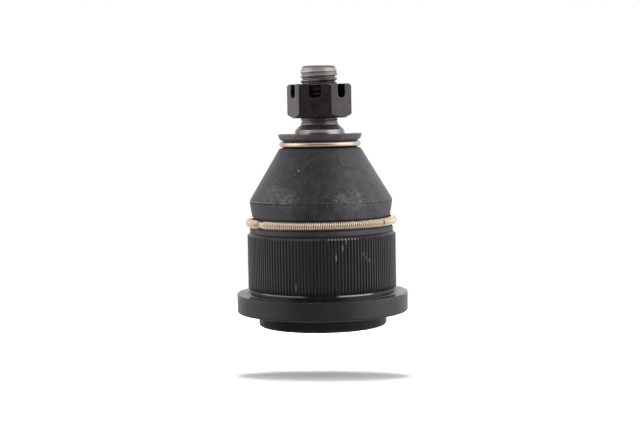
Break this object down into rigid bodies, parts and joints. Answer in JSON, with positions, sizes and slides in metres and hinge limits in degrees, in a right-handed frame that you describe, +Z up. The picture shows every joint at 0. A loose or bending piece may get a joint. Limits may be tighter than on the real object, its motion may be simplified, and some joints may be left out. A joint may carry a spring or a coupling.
{
  "type": "suspension ball joint",
  "caption": "Press-in suspension ball joint: serrated flanged steel body, swivelling tapered ball stud with a slotted nut, and a rubber dust boot held by two rings.",
  "frame": {"origin": "middle of the underside, on the rolled rim that holds the cover plate", "axes": "+Z up along the stud, from the cover plate to the threaded end; -Y is the front, as pictured"},
  "size_m": [0.0548, 0.0548, 0.0829],
  "materials": {
    "body_black": "satin black phosphate",
    "bearing_polymer": "moulded",
    "spring_steel": "tempered",
    "cover_steel": "satin black phosphate",
    "stud_steel": "turned and rolled",
    "nut_black": "dark phosphate",
    "boot_rubber": "matte, dusty",
    "ring_gold_zinc": "yellow zinc plate",
    "garter_yellow_zinc": "yellow zinc plate"
  },
  "bodies": {
    "housing": {"housing": "body_black", "upper_bearing": "bearing_polymer", "lower_bearing": "bearing_polymer", "preload_spring": "spring_steel", "cover_plate": "cover_steel"},
    "boot": {"dust_boot": "boot_rubber", "boot_garter_spring": "garter_yellow_zinc"},
    "boot_top": {"boot_top_ring": "ring_gold_zinc"},
    "stud": {"ball_stud": "stud_steel", "castle_nut": "nut_black"}
  },
  "joints": [
    {"name": "swing_direction", "type": "hinge", "parent": "housing", "child": "boot", "pos_m": [0, 0, 0.0195], "axis": [0, 0, 1], "continuous": true},
    {"name": "stud_swing", "type": "hinge", "parent": "boot", "child": "boot_top", "pos_m": [0, 0, 0.0195], "axis": [0, 1, 0], "range_deg": [-25, 25], "deforming": ["dust_boot"]},
    {"name": "stud_spin", "type": "hinge", "parent": "boot_top", "child": "stud", "pos_m": [0, 0, 0.0195], "axis": [0, 0, 1], "continuous": true}
  ]
}
